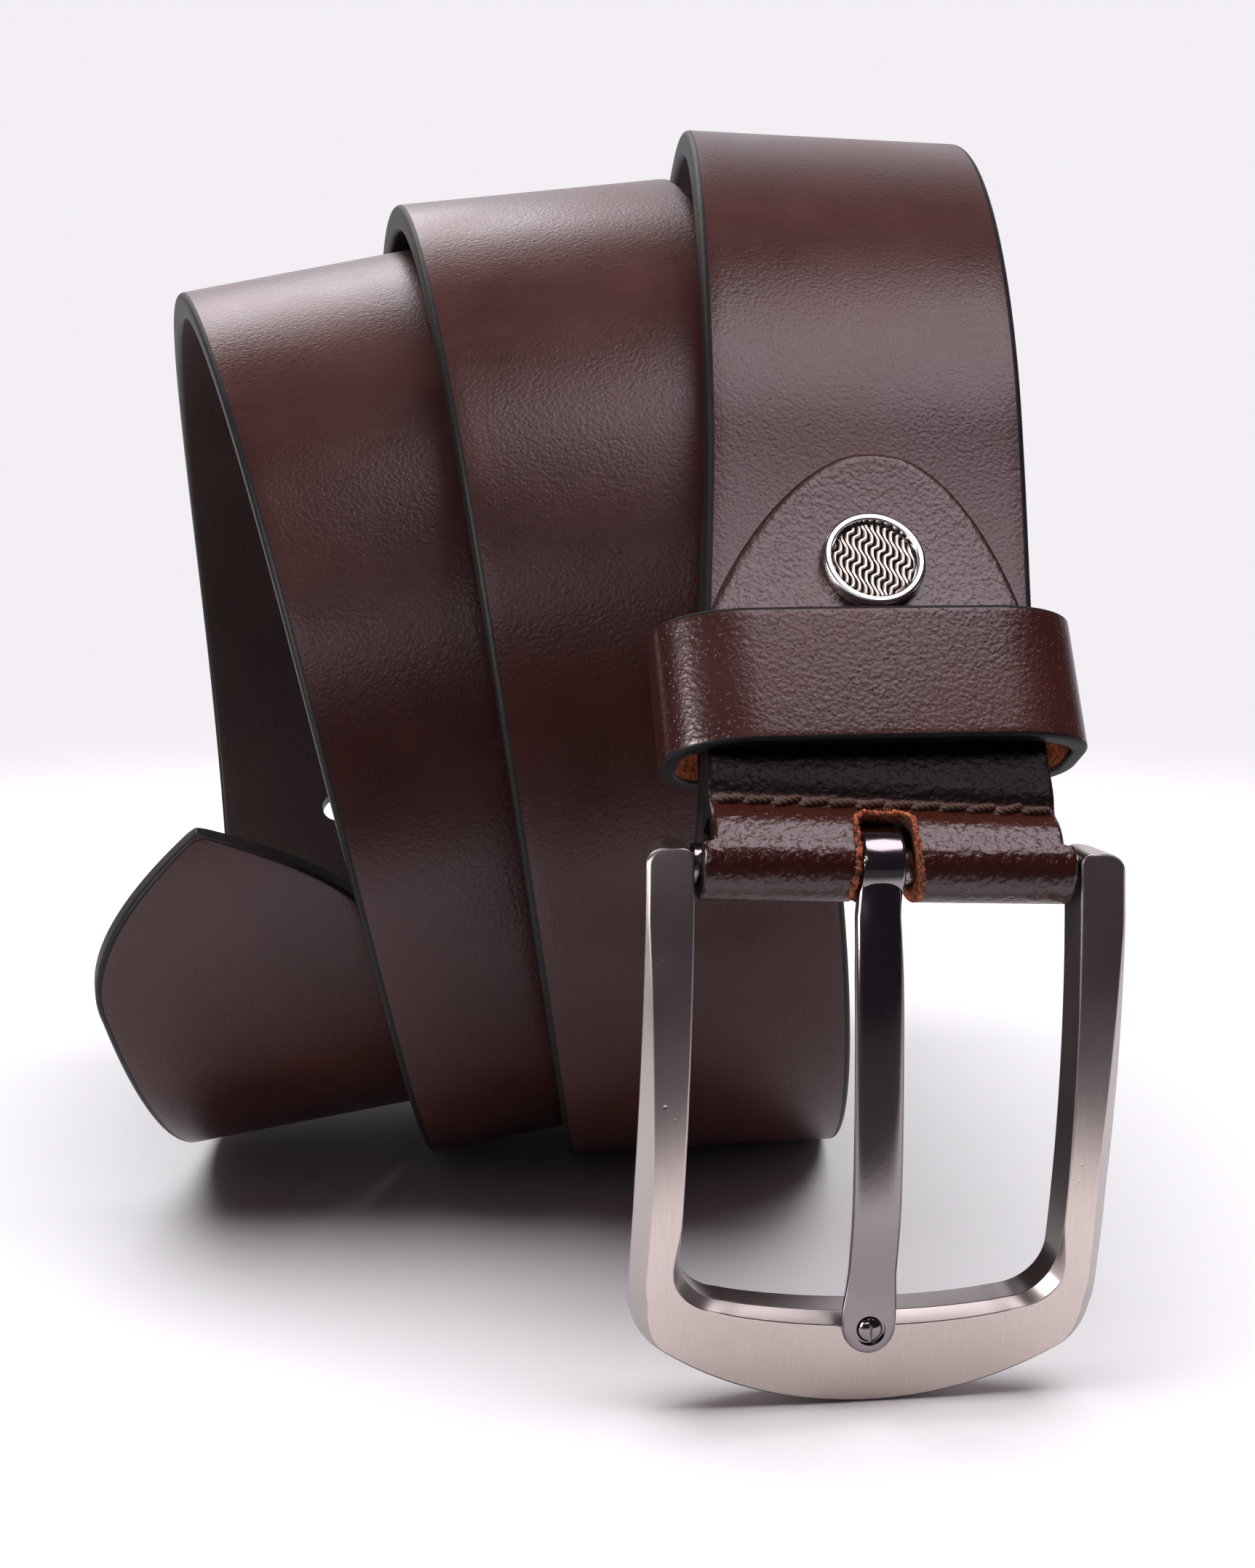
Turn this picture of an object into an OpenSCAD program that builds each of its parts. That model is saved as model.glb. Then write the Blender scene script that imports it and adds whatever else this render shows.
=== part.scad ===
// Gentleman's leather belt, rolled up and standing on its edges.
// The strap coils round a level axis along X. The buckle hangs in front, towards -Y.
// Millimetres, +Z up, table at z = 0.

/* [Strap] */
// Width of the strap
strap_w = 40; // [38:0.5:40]
// Thickness of the strap
strap_t = 3.8; // [3.4:0.1:3.8]
// Length of the pointed end
point_l = 24; // [18:1:26]
// Distance from the tip to the first belt hole
first_hole = 110; // [95:5:130]
// Distance between belt holes
hole_pitch = 25; // [20:1:25]
// Number of belt holes
hole_count = 5; // [3:1:5]
// Diameter of a belt hole
hole_d = 5; // [4:0.1:5.4]

/* [Buckle tab] */
// Thickness of the leather tab at the bar
tab_t = 1.9; // [1.7:0.1:2]
// Thickness of the tab at its skived ends
tab_end_t = 0.8; // [0.6:0.1:1]
// Width of the tab where it goes round the bar
tab_w = 42.5; // [40:0.5:42.5]
// Distance from the bar to the top of the front flap
flap_l = 56; // [55:0.5:58]
// Distance from the bar to the end of the back flap
back_l = 50; // [48:1:54]
// Distance from the bar to the row of stitches
stitch_at = 6; // [5.8:0.1:6.6]

/* [Keeper] */
// Width of the keeper's leather band
keeper_w = 16.6; // [15:0.1:16.8]
// Thickness of the keeper's leather band
keeper_t = 2; // [1.8:0.1:2.3]
// Distance from the bar to the keeper's lower edge
keeper_at = 14.8; // [14.4:0.1:15]

/* [Rivet] */
// Diameter of the rivet's cap
rivet_d = 12.6; // [10:0.2:12.6]
// Distance from the bar to the rivet
rivet_at = 40.1; // [40:0.1:41]

/* [Buckle] */
// Width inside the buckle
window_w = 44; // [43.6:0.1:44.5]
// Width of a buckle leg
leg_w = 5.4; // [5:0.1:5.6]
// Front-to-back depth of the buckle
leg_d = 6.2; // [5.6:0.1:6.4]
// Height of the buckle from the bar to the table
drop = 63.1; // [62.8:0.1:63.4]
// Height of the bottom bar of the buckle
bottom_h = 11.7; // [10.5:0.1:12]
// Diameter of the hinge bar
bar_d = 4.4; // [4.2:0.02:4.42]
// Width of the prong
prong_w = 4.8; // [4:0.1:4.8]

/* [Hidden] */

$fn = 48;
eps = 0.01;
gap = 0.05;
leather = [0.24, 0.12, 0.1];
dark_leather = [0.17, 0.08, 0.07];
gunmetal = [0.42, 0.4, 0.4];
nickel = [0.8, 0.8, 0.82];

// The route of the coil, one round value for each quarter turn from half a turn before its top:
// sideways place and radius of the ring, its lean from upright and its swing from the front, in degrees.
coil_z = 72;
coil_x = [4.5, 15.5, 26, 27, 10.5, -7, -6.5, -10, -21.5, -33, -34, -42.5, -56, -68.3, -100];
coil_r = [67.5, 73.5, 79.5, 76, 68.5, 69.5, 70.5, 69.5, 67.2, 63.5, 57.5, 62, 65.5, 65.5, 66.5];
coil_lean = [0, -0.5, -2.5, -4, 0.5, 5, 6, 8, 9, 9.5, 11.5, 11.5, 10.5, 0.5, -10];
coil_swing = [14.5, 10, 5, 5, 7, 7, 8, 9, 10, 11, 10.5, 10.5, 11.5, 13.5, 16.5];
tip_turn = 980;

// The lead runs from the buckle's bar up to the coil, where it joins it before the first top.
join_turn = -60;
lead_turns = 40;
bar_place = [28.8, -101.6, drop];
bar_swing = 8;
bar_roll = -2.4;
lead_slope = 44;
lead_pull = 20;

// Moves the object so that the middle of its footprint is at the origin.
place = [9.8, 16.33, 0.03];

function unit(v) = v / norm(v);
function mix(a, b, t) = a + (b - a) * t;

// Uniform cubic B-spline through a list of control values, two values before the point u = 0.
function spline(c, u) =
    let (i = floor(u), t = u - i, s = 1 - t)
    (s ^ 3 * c[i] + (3 * t ^ 3 - 6 * t ^ 2 + 4) * c[i + 1]
        + (3 * s ^ 3 - 6 * s ^ 2 + 4) * c[i + 2] + t ^ 3 * c[i + 3]) / 6;

// Ring direction and centreline point of the coil at a turn angle.
function coil_place(turn) = (turn + 90) / 90;
function ring_dir(turn) =
    let (u = coil_place(turn))
    [1, tan(spline(coil_swing, u)), tan(spline(coil_lean, u))];
function coil_point(turn) =
    let (u = coil_place(turn), r = spline(coil_r, u), d = ring_dir(turn))
    [spline(coil_x, u) - r * (d.y * sin(turn) + d.z * cos(turn)), r * sin(turn), coil_z + r * cos(turn)];

// Directions of the buckle's bar and of the strap where it reaches the bar.
bar_dir = [cos(bar_roll) * cos(bar_swing), cos(bar_roll) * sin(bar_swing), sin(bar_roll)];
down_dir = unit(cross(cross(bar_dir, [0, -cos(lead_slope), -sin(lead_slope)]), bar_dir));

// The lead's curve: a cubic from the bar to the join.
join_point = coil_point(join_turn);
join_dir = unit(coil_point(join_turn + 1) - join_point);
function lead_point(u) =
    (1 - u) ^ 3 * bar_place + 3 * (1 - u) ^ 2 * u * (bar_place - lead_pull * down_dir)
    + 3 * (1 - u) * u ^ 2 * (join_point - lead_pull * join_dir) + u ^ 3 * join_point;

// The whole route, measured in turn angle, and its width, length and outward directions.
bar_turn = join_turn - lead_turns;
function route_point(turn) =
    turn < join_turn ? lead_point((turn - bar_turn) / lead_turns) : coil_point(turn);
function route_ring(turn) =
    turn < join_turn ? mix(bar_dir, ring_dir(join_turn), (turn - bar_turn) / lead_turns) : ring_dir(turn);
function route_frame(turn) =
    let (p = route_point(turn), t = unit(route_point(turn + 0.5) - route_point(turn - 0.5)),
         d = route_ring(turn), w = unit(d - (d * t) * t))
    [p, w, t, cross(w, t)];

// Distances along the route, so that every part is placed by its distance from the bar.
turn_step = 2;
turns = [for (turn = [bar_turn:turn_step:tip_turn]) turn];
function step_l(i) = i < len(turns) ? norm(route_point(turns[i]) - route_point(turns[i - 1])) : 0;
lengths = [for (i = 0, s = 0; i < len(turns); i = i + 1, s = s + step_l(i)) s];
turn_of = [for (i = [0:len(turns) - 1]) [lengths[i], turns[i]]];
route_l = lengths[len(lengths) - 1];
function frame_at(mm) = route_frame(lookup(mm, turn_of));

// Places children in the frame at a distance from the bar: x across, y along the strap, z outwards.
module at_mm(mm) {
    f = frame_at(mm);
    multmatrix([for (k = [0:2]) [f[1][k], f[2][k], f[3][k], f[0][k]]]) children();
}

// A band swept through stations [frame, half width, inner offset, outer offset].
function band_corners(s) =
    let (f = s[0])
    [for (c = [[-1, s[2]], [1, s[2]], [1, s[3]], [-1, s[3]]]) f[0] + c.x * s[1] * f[1] + c.y * f[3]];
module band(stations) {
    n = len(stations);
    sides = [for (i = [0:n - 2], k = [0:3])
        let (a = 4 * i + k, b = 4 * i + (k + 1) % 4)
        each [[a, b, b + 4], [a, b + 4, a + 4]]];
    last = 4 * (n - 1);
    ends = [[0, 2, 1], [0, 3, 2], [last, last + 1, last + 2], [last, last + 2, last + 3]];
    polyhedron([for (s = stations) each band_corners(s)], concat(sides, ends), convexity = 20);
}

// Half width and sideways shift of the pointed strap end, at a distance from its tip.
point_side = -1.6;
function point_half(s) = s >= point_l ? strap_w / 2 : max(1, strap_w / 2 * (1 - (1 - s / point_l) ^ 2.1));
function shifted(f, side) = [f[0] + side * f[1], f[1], f[2], f[3]];
function strap_frame(mm) = shifted(frame_at(mm), point_side * max(0, 1 - (route_l - mm) / point_l));

strap_start = 4.6;
strap_step = 5;
point_steps = [0, 0.3, 0.9, 2, 4, 6.5, 9.5, 13, 17, point_l];
module strap() {
    straight = floor((route_l - point_l - strap_start) / strap_step);
    stations = concat(
        [for (i = [0:straight - 1]) strap_start + i * strap_step],
        [for (i = [len(point_steps) - 1:-1:0]) route_l - point_steps[i]]);
    color(leather) difference() {
        band([for (mm = stations) [strap_frame(mm), point_half(route_l - mm), -strap_t / 2, strap_t / 2]]);
        for (i = [0:hole_count - 1])
            at_mm(route_l - first_hole - i * hole_pitch) cylinder(d = hole_d, h = 3 * strap_t, center = true);
        at_mm(rivet_at) cylinder(r = post_r + gap, h = 3 * strap_t, center = true);
    }
}

// The tab: one skived leather piece, up the back, round the bar and up the front to a rounded flap.
bar_in = 2.28;
slot_w = 6.7;
slot_l = 4.25;
flap_round = 27;
flap_side = 1;
tab_gap = 0.1;
tab_close_l = 8;
tab_narrow_l = 10;
skive_at = 5;
skive_l = 20;
function tab_in(mm) = mix(bar_in, strap_t / 2 + tab_gap, min(1, mm / tab_close_l));
function tab_thick(mm) = mix(tab_t, tab_end_t, max(0, min(1, (mm - skive_at) / skive_l)));
function flap_frame(mm) = shifted(frame_at(mm), flap_side * max(0, 1 - (flap_l - mm) / flap_round));
function flap_half(s) =
    s >= flap_round ? strap_w / 2 : max(1, strap_w / 2 * sqrt(1 - (1 - s / flap_round) ^ 1.25));
function tab_half(mm) = mix(tab_w, strap_w, min(1, mm / tab_narrow_l)) / 2;
function front_station(mm) =
    [flap_frame(mm), min(flap_half(flap_l - mm), tab_half(mm)), tab_in(mm), tab_in(mm) + tab_thick(mm)];
function back_station(mm) =
    [frame_at(mm), tab_half(mm) - (mm == back_l ? 2 : 0), -tab_in(mm), -tab_in(mm) - tab_thick(mm)];
function tilted(f, angle) =
    [f[0], f[1], f[2] * cos(angle) + f[3] * sin(angle), f[3] * cos(angle) - f[2] * sin(angle)];
flap_steps = [0, 0.3, 0.9, 2, 3.6, 6, 9, 13, 17, 22, flap_round];
module buckle_tab() {
    front = concat([for (s = flap_steps) flap_l - s], [20, 16, 12, 8, 4]);
    back = [5, 10, 15, 20, 25, 30, 35, 40, back_l];
    bar_frame = frame_at(0);
    color(dark_leather) difference() {
        band(concat(
            [for (mm = front) front_station(mm)],
            [for (a = [0:15:180]) [tilted(bar_frame, a), tab_half(0), bar_in, bar_in + tab_t]],
            [for (mm = back) back_station(mm)]));
        at_mm(0) cube([slot_w, 2 * slot_l, 3 * slot_l], center = true);
        at_mm(rivet_at) cylinder(r = post_r + gap, h = 6 * strap_t, center = true);
    }
}

// The seam: short twisted-thread stitches on the front and on the back of the tab.
stitch_count = 12;
stitch_l = 2.5;
stitch_d = 0.9;
module stitches() {
    pitch = (tab_w - 1) / stitch_count;
    surface = tab_in(stitch_at) + tab_t;
    color([0.2, 0.12, 0.09]) at_mm(stitch_at)
        for (i = [0:stitch_count - 1], side = [-1, 1])
            translate([(i - (stitch_count - 1) / 2) * pitch - stitch_l / 2, 0, side * surface])
                rotate([0, 90, 0]) cylinder(d = stitch_d, h = stitch_l);
}

// The rivet: a dished cap ring, a patterned insert in it, a post and a back plate.
post_r = 1.5;
rivet_gap = 0.15;
rivet_low = tab_in(rivet_at) + tab_thick(rivet_at) + rivet_gap;
cap_h = 1.7;
cap_floor = 0.6;
rim_w = 1.1;
insert_t = 0.55;
module rivet_cap() {
    r = rivet_d / 2;
    color(nickel) at_mm(rivet_at) translate([0, 0, rivet_low]) rotate_extrude()
        polygon([[post_r + gap, 0], [r - 0.5, 0], [r, 0.5], [r, cap_h - 0.4], [r - 0.4, cap_h],
                 [r - rim_w + 0.2, cap_h], [r - rim_w, cap_h - 0.3], [r - rim_w, cap_floor],
                 [post_r + gap, cap_floor]]);
}
module rivet_insert() {
    color([0.7, 0.66, 0.62]) at_mm(rivet_at) translate([0, 0, rivet_low + cap_floor + gap])
        cylinder(r = rivet_d / 2 - rim_w - gap, h = insert_t);
}
module rivet_post() {
    top = rivet_low + cap_floor;
    bottom = -rivet_low - 0.4;
    color(nickel) at_mm(rivet_at) translate([0, 0, bottom]) cylinder(r = post_r, h = top - bottom);
}
module rivet_back_plate() {
    r = 4.6;
    color(nickel) at_mm(rivet_at) translate([0, 0, -rivet_low]) mirror([0, 0, 1]) rotate_extrude()
        polygon([[post_r + gap, 0], [r, 0], [r, 0.4], [r - 0.5, 0.8], [post_r + gap, 1]]);
}

// The keeper: a loose leather loop round the strap and both layers of the tab.
keeper_in = [46.4, 11.4];
keeper_side = -0.2;
keeper_turn = 7;
keeper_tip = 9;
keeper_corner = 3.6;
module rounded(size, r) {
    square([size.x - 2 * r, size.y], center = true);
    square([size.x, size.y - 2 * r], center = true);
    for (x = [-1, 1], y = [-1, 1])
        translate([x * (size.x / 2 - r), y * (size.y / 2 - r)]) circle(r = r);
}
module at_keeper() {
    at_mm(keeper_at + keeper_w / 2)
        translate([keeper_side, 0, 0]) rotate([keeper_tip, 0, keeper_turn])
            translate([0, keeper_w / 2, 0]) rotate([90, 0, 0]) children();
}
module keeper() {
    color(dark_leather) at_keeper() linear_extrude(keeper_w) difference() {
        rounded([keeper_in.x + 2 * keeper_t, keeper_in.y + 2 * keeper_t], keeper_corner + 2);
        rounded(keeper_in, keeper_corner);
    }
}
// Two wire staples close the ends of the keeper's band behind the strap.
staple_l = 6;
staple_d = 0.7;
staple_apart = 8;
module keeper_staples() {
    outside = -keeper_in.y / 2 - keeper_t - staple_d / 2;
    color(nickel) at_keeper() for (z = [-1, 1] * staple_apart / 2) translate([0, outside, keeper_w / 2 + z]) {
        translate([-staple_l / 2, 0, 0]) rotate([0, 90, 0]) cylinder(d = staple_d, h = staple_l);
        for (x = [-staple_l / 2, staple_l / 2])
            translate([x, 0, 0]) rotate([-90, 0, 0]) cylinder(d = staple_d, h = keeper_t + staple_d / 2);
    }
}

// The buckle hangs straight down from the bar: x along the bar, -y to the front, -z down.
module at_bar() {
    translate(bar_place) rotate([0, 0, bar_swing]) rotate([0, -bar_roll, 0]) children();
}
out_w = window_w + 2 * leg_w;
leg_top = 2;
arc_r = 41.5;
corner_r = 8;
leg_corner_r = 2.5;
module round_corners(r) {
    offset(r = r) offset(delta = -r) children();
}
// Outline of the buckle seen from the front, drawn with the height along y.
module buckle_outline() {
    round_corners(corner_r) intersection() {
        translate([-out_w / 2, -drop]) square([out_w, drop]);
        translate([0, arc_r - drop]) circle(r = arc_r, $fn = 180);
    }
    round_corners(leg_corner_r) translate([-out_w / 2, -drop / 2]) square([out_w, drop / 2 + leg_top]);
}
// The window is open at the top, where the bar closes it.
window_r = 6;
window_rise = 1.5;
sill_r = 95;
module buckle_window() {
    low = -drop + bottom_h;
    corner_z = low + window_r + window_rise;
    intersection() {
        union() {
            translate([-window_w / 2, corner_z]) square([window_w, drop]);
            translate([-window_w / 2 + window_r, low]) square([window_w - 2 * window_r, drop]);
            for (x = [-1, 1])
                translate([x * (window_w / 2 - window_r), corner_z]) circle(r = window_r);
        }
        translate([0, low + sill_r]) circle(r = sill_r, $fn = 240);
    }
}
// The frame is bowed: both its faces are arcs about an axis behind it.
bow_r = 119;
bow_mid = -29;
bow_back = bow_r - leg_d / 2 - 3.3;
notch_w = 6.7;
notch_floor = -3.7;
notch_low = -drop + bottom_h - 7.6;
notch_h = 12;
bar_hole_l = 4;
bar_end_r = 1.25;
// The sides lean in: out_w changes by these much at this distance in front of the bar and behind it.
side_depth = 10;
front_grow = 1.3;
back_shrink = 3.7;
module buckle_frame() {
    front_x = out_w / 2 + front_grow;
    back_x = out_w / 2 - back_shrink;
    color(gunmetal) at_bar() difference() {
        intersection() {
            translate([0, 15, 0]) rotate([90, 0, 0]) linear_extrude(30) difference() {
                buckle_outline();
                buckle_window();
            }
            linear_extrude(3 * drop, center = true) polygon(
                [[-front_x, -side_depth], [front_x, -side_depth], [back_x, side_depth], [-back_x, side_depth]]);
            translate([0, bow_back, bow_mid]) rotate([0, 90, 0]) difference() {
                cylinder(r = bow_r, h = 2 * out_w, center = true, $fn = 360);
                cylinder(r = bow_r - leg_d, h = 3 * out_w, center = true, $fn = 360);
            }
        }
        rotate([0, 90, 0]) cylinder(r = bar_end_r + 0.02, h = window_w + 2 * bar_hole_l, center = true);
        translate([-notch_w / 2, -20, notch_low]) cube([notch_w, 20 + notch_floor, notch_h]);
    }
}
module hinge_bar() {
    color(nickel) at_bar() rotate([0, 90, 0])
        cylinder(d = bar_d, h = window_w - 0.2, center = true);
    color(nickel) at_bar() rotate([0, 90, 0])
        cylinder(r = bar_end_r, h = window_w + 2 * bar_hole_l - 0.1, center = true);
}

// The prong: a loop round the bar and a shank that steps back onto the bottom bar.
loop_r = 4;
prong_t = 2;
prong_end = -55.5;
prong_side = -0.85;
loop_low = -5;
shank_top = -1.4;
shank_low = -48;
tip_w = 5.6;
// Middle line of the shank seen from the side: [front-to-back, height].
shank = [[-2.9, 0.6], [-3.2, -2], [-4.7, -8], [-6, -16], [-6.9, -26], [-7.2, -34], [-7, -39], [-6.3, -43],
         [-5.5, -47], [-5.2, -50], [-5.2, -58]];
function shank_side(side) = [for (i = [0:len(shank) - 1])
    let (a = shank[max(i - 1, 0)], b = shank[min(i + 1, len(shank) - 1)], d = unit(b - a))
    shank[i] + side * prong_t / 2 * [d.y, -d.x]];
module prong() {
    back = shank_side(-1);
    color([0.3, 0.29, 0.31]) at_bar() difference() {
        union() {
            translate([prong_side, 0, 0]) rotate([0, 90, 0]) cylinder(r = loop_r, h = prong_w, center = true);
            intersection() {
                rotate([90, 0, 90]) linear_extrude(2 * tip_w, center = true)
                    polygon(concat(shank_side(1), [for (i = [len(back) - 1:-1:0]) back[i]]));
                translate([0, 15, 0]) rotate([90, 0, 0]) linear_extrude(30) {
                    polygon([[shank_top - prong_w / 2, loop_low], [shank_top + prong_w / 2, loop_low],
                             [prong_w / 2, shank_low], [-prong_w / 2, shank_low]]);
                    translate([prong_side - prong_w / 2, loop_low - eps]) square([prong_w, 7]);
                    translate([-tip_w / 2, prong_end + tip_w / 2]) square([tip_w, 7]);
                    translate([0, prong_end + tip_w / 2]) circle(d = tip_w);
                }
            }
        }
        rotate([0, 90, 0]) cylinder(r = bar_d / 2 + 0.08, h = 2 * tip_w, center = true);
        translate([0, 0, screw_z]) rotate([90, 0, 0]) cylinder(r = screw_r + gap, h = 20);
    }
}
// A slotted screw head is seated in the prong's tip.
screw_z = -52.5;
screw_r = 1.5;
screw_h = 2.35;
screw_back = -4.25;
module prong_screw() {
    color(nickel) at_bar() translate([0, screw_back, screw_z]) rotate([90, 0, 0]) difference() {
        cylinder(r = screw_r, h = screw_h);
        translate([-0.25, -screw_r - eps, screw_h - 0.35]) cube([0.5, 2 * screw_r + 2 * eps, 1]);
    }
}

translate(place) strap();
translate(place) buckle_tab();
translate(place) stitches();
translate(place) rivet_cap();
translate(place) rivet_insert();
translate(place) rivet_post();
translate(place) rivet_back_plate();
translate(place) keeper();
translate(place) keeper_staples();
translate(place) buckle_frame();
translate(place) hinge_bar();
translate(place) prong();
translate(place) prong_screw();
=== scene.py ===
"""The visual model of a rolled-up leather belt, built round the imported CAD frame."""

import math

import bpy
import numpy as np
from mathutils import Matrix, Vector


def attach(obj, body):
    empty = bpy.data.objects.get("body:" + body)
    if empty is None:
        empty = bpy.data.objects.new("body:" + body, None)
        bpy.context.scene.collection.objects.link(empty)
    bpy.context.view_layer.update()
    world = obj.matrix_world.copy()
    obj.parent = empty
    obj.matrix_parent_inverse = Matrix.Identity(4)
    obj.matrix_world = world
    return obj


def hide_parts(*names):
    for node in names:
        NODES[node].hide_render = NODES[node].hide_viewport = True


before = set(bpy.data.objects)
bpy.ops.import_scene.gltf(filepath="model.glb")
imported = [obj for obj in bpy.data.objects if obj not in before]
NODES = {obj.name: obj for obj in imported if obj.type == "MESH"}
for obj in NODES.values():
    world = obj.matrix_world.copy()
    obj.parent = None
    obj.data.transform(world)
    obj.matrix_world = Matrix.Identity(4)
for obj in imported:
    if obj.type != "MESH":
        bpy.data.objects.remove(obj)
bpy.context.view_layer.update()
MM = 0.001

# ---------------------------------------------------------------- sizes, in millimetres, as in the CAD part
PLACE = np.array([9.8, 16.33, 0.03])
STRAP_W, STRAP_T = 40.0, 3.8
POINT_L, POINT_SIDE = 24.0, -1.6
FIRST_HOLE, HOLE_PITCH, HOLE_COUNT, HOLE_D = 110.0, 25.0, 5, 5.0
STRAP_START = 4.6
TAB_T, TAB_END_T, TAB_W = 1.9, 0.8, 42.5
FLAP_L, BACK_L, FLAP_ROUND, FLAP_SIDE = 56.0, 50.0, 27.0, 1.0
BAR_IN = 2.28
STITCH_AT = 6.0
KEEPER_W, KEEPER_T, KEEPER_AT = 16.6, 2.0, 14.8
KEEPER_IN = (46.4, 11.4)
KEEPER_SIDE, KEEPER_TURN, KEEPER_TIP = -0.2, 7.0, 9.0
RIVET_D, RIVET_AT = 12.6, 40.1
WINDOW_W, LEG_W, LEG_D, DROP = 44.0, 5.4, 6.2, 63.1
BOTTOM_H = 11.7
# The coil's four lists have one value for each quarter turn. They repeat those of the CAD part, which
# are rounded from a least-squares fit to the belt's outlines in the photo.
COIL_Z = 72.0
COIL_X = [4.5, 15.5, 26, 27, 10.5, -7, -6.5, -10, -21.5, -33, -34, -42.5, -56, -68.3, -100]
COIL_R = [67.5, 73.5, 79.5, 76, 68.5, 69.5, 70.5, 69.5, 67.2, 63.5, 57.5, 62, 65.5, 65.5, 66.5]
COIL_LEAN = [0, -0.5, -2.5, -4, 0.5, 5, 6, 8, 9, 9.5, 11.5, 11.5, 10.5, 0.5, -10]
COIL_SWING = [14.5, 10, 5, 5, 7, 7, 8, 9, 10, 11, 10.5, 10.5, 11.5, 13.5, 16.5]
TIP_TURN, JOIN_TURN, LEAD_TURNS = 980.0, -60.0, 40.0
BAR_PLACE = np.array([28.8, -101.6, DROP])
BAR_SWING, BAR_ROLL = 8.0, -2.4
LEAD_SLOPE, LEAD_PULL = 44.0, 20.0


# ---------------------------------------------------------------- the strap's route
def unit(v):
    return v / np.linalg.norm(v)


def mix(a, b, t):
    return a + (b - a) * t


def share(value):
    """A value held between 0 and 1."""
    return max(0.0, min(1.0, value))


def spline(c, u):
    """Uniform cubic B-spline through a list of control values."""
    i = int(math.floor(u))
    t = u - i
    s = 1 - t
    return (s**3 * c[i] + (3 * t**3 - 6 * t**2 + 4) * c[i + 1]
            + (3 * s**3 - 6 * s**2 + 4) * c[i + 2] + t**3 * c[i + 3]) / 6


def tan(degrees):
    return math.tan(math.radians(degrees))


def sin(degrees):
    return math.sin(math.radians(degrees))


def cos(degrees):
    return math.cos(math.radians(degrees))


def ring_dir(turn):
    u = (turn + 90) / 90
    return np.array([1, tan(spline(COIL_SWING, u)), tan(spline(COIL_LEAN, u))])


def coil_point(turn):
    u = (turn + 90) / 90
    r = spline(COIL_R, u)
    d = ring_dir(turn)
    return np.array([spline(COIL_X, u) - r * (d[1] * sin(turn) + d[2] * cos(turn)),
                     r * sin(turn), COIL_Z + r * cos(turn)])


BAR_DIR = np.array([cos(BAR_ROLL) * cos(BAR_SWING), cos(BAR_ROLL) * sin(BAR_SWING), sin(BAR_ROLL)])
DOWN_DIR = unit(np.cross(np.cross(BAR_DIR, [0, -cos(LEAD_SLOPE), -sin(LEAD_SLOPE)]), BAR_DIR))
JOIN_POINT = coil_point(JOIN_TURN)
JOIN_DIR = unit(coil_point(JOIN_TURN + 1) - JOIN_POINT)
BAR_TURN = JOIN_TURN - LEAD_TURNS


def lead_point(u):
    return ((1 - u)**3 * BAR_PLACE + 3 * (1 - u)**2 * u * (BAR_PLACE - LEAD_PULL * DOWN_DIR)
            + 3 * (1 - u) * u**2 * (JOIN_POINT - LEAD_PULL * JOIN_DIR) + u**3 * JOIN_POINT)


def route_point(turn):
    return lead_point((turn - BAR_TURN) / LEAD_TURNS) if turn < JOIN_TURN else coil_point(turn)


def route_frame(turn):
    """Place, width direction, length direction and outward direction of the strap at a turn angle."""
    p = route_point(turn)
    t = unit(route_point(turn + 0.5) - route_point(turn - 0.5))
    lead_share = min(1.0, (turn - BAR_TURN) / LEAD_TURNS)
    d = mix(BAR_DIR, ring_dir(JOIN_TURN), lead_share) if turn < JOIN_TURN else ring_dir(turn)
    w = unit(d - np.dot(d, t) * t)
    return p, w, t, np.cross(w, t)


TURNS = np.arange(BAR_TURN, TIP_TURN + 0.1, 2.0)
ROUTE = np.array([route_point(a) for a in TURNS])
LENGTHS = np.concatenate([[0], np.cumsum(np.linalg.norm(np.diff(ROUTE, axis=0), axis=1))])
ROUTE_L = LENGTHS[-1]


def frame_at(mm, side=0.0):
    """The strap's frame at a distance from the buckle's bar, shifted sideways."""
    p, w, t, n = route_frame(float(np.interp(mm, LENGTHS, TURNS)))
    return p + side * w, w, t, n


def frame_matrix(f):
    """A matrix from millimetres in a strap frame (x across, y along, z outwards) to the row frame."""
    p, w, t, n = f
    m = Matrix([[w[k], t[k], n[k], p[k] + PLACE[k]] for k in range(3)] + [[0, 0, 0, 1]])
    return Matrix.Diagonal((MM, MM, MM, 1)) @ m


BAR_MATRIX = (Matrix.Diagonal((MM, MM, MM, 1)) @ Matrix.Translation(Vector(BAR_PLACE + PLACE))
              @ Matrix.Rotation(math.radians(BAR_SWING), 4, "Z")
              @ Matrix.Rotation(math.radians(-BAR_ROLL), 4, "Y"))
KEEPER_MATRIX = (frame_matrix(frame_at(KEEPER_AT + KEEPER_W / 2)) @ Matrix.Translation((KEEPER_SIDE, 0, 0))
                 @ Matrix.Rotation(math.radians(KEEPER_TURN), 4, "Z")
                 @ Matrix.Rotation(math.radians(KEEPER_TIP), 4, "X"))
RIVET_MATRIX = frame_matrix(frame_at(RIVET_AT))


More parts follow.
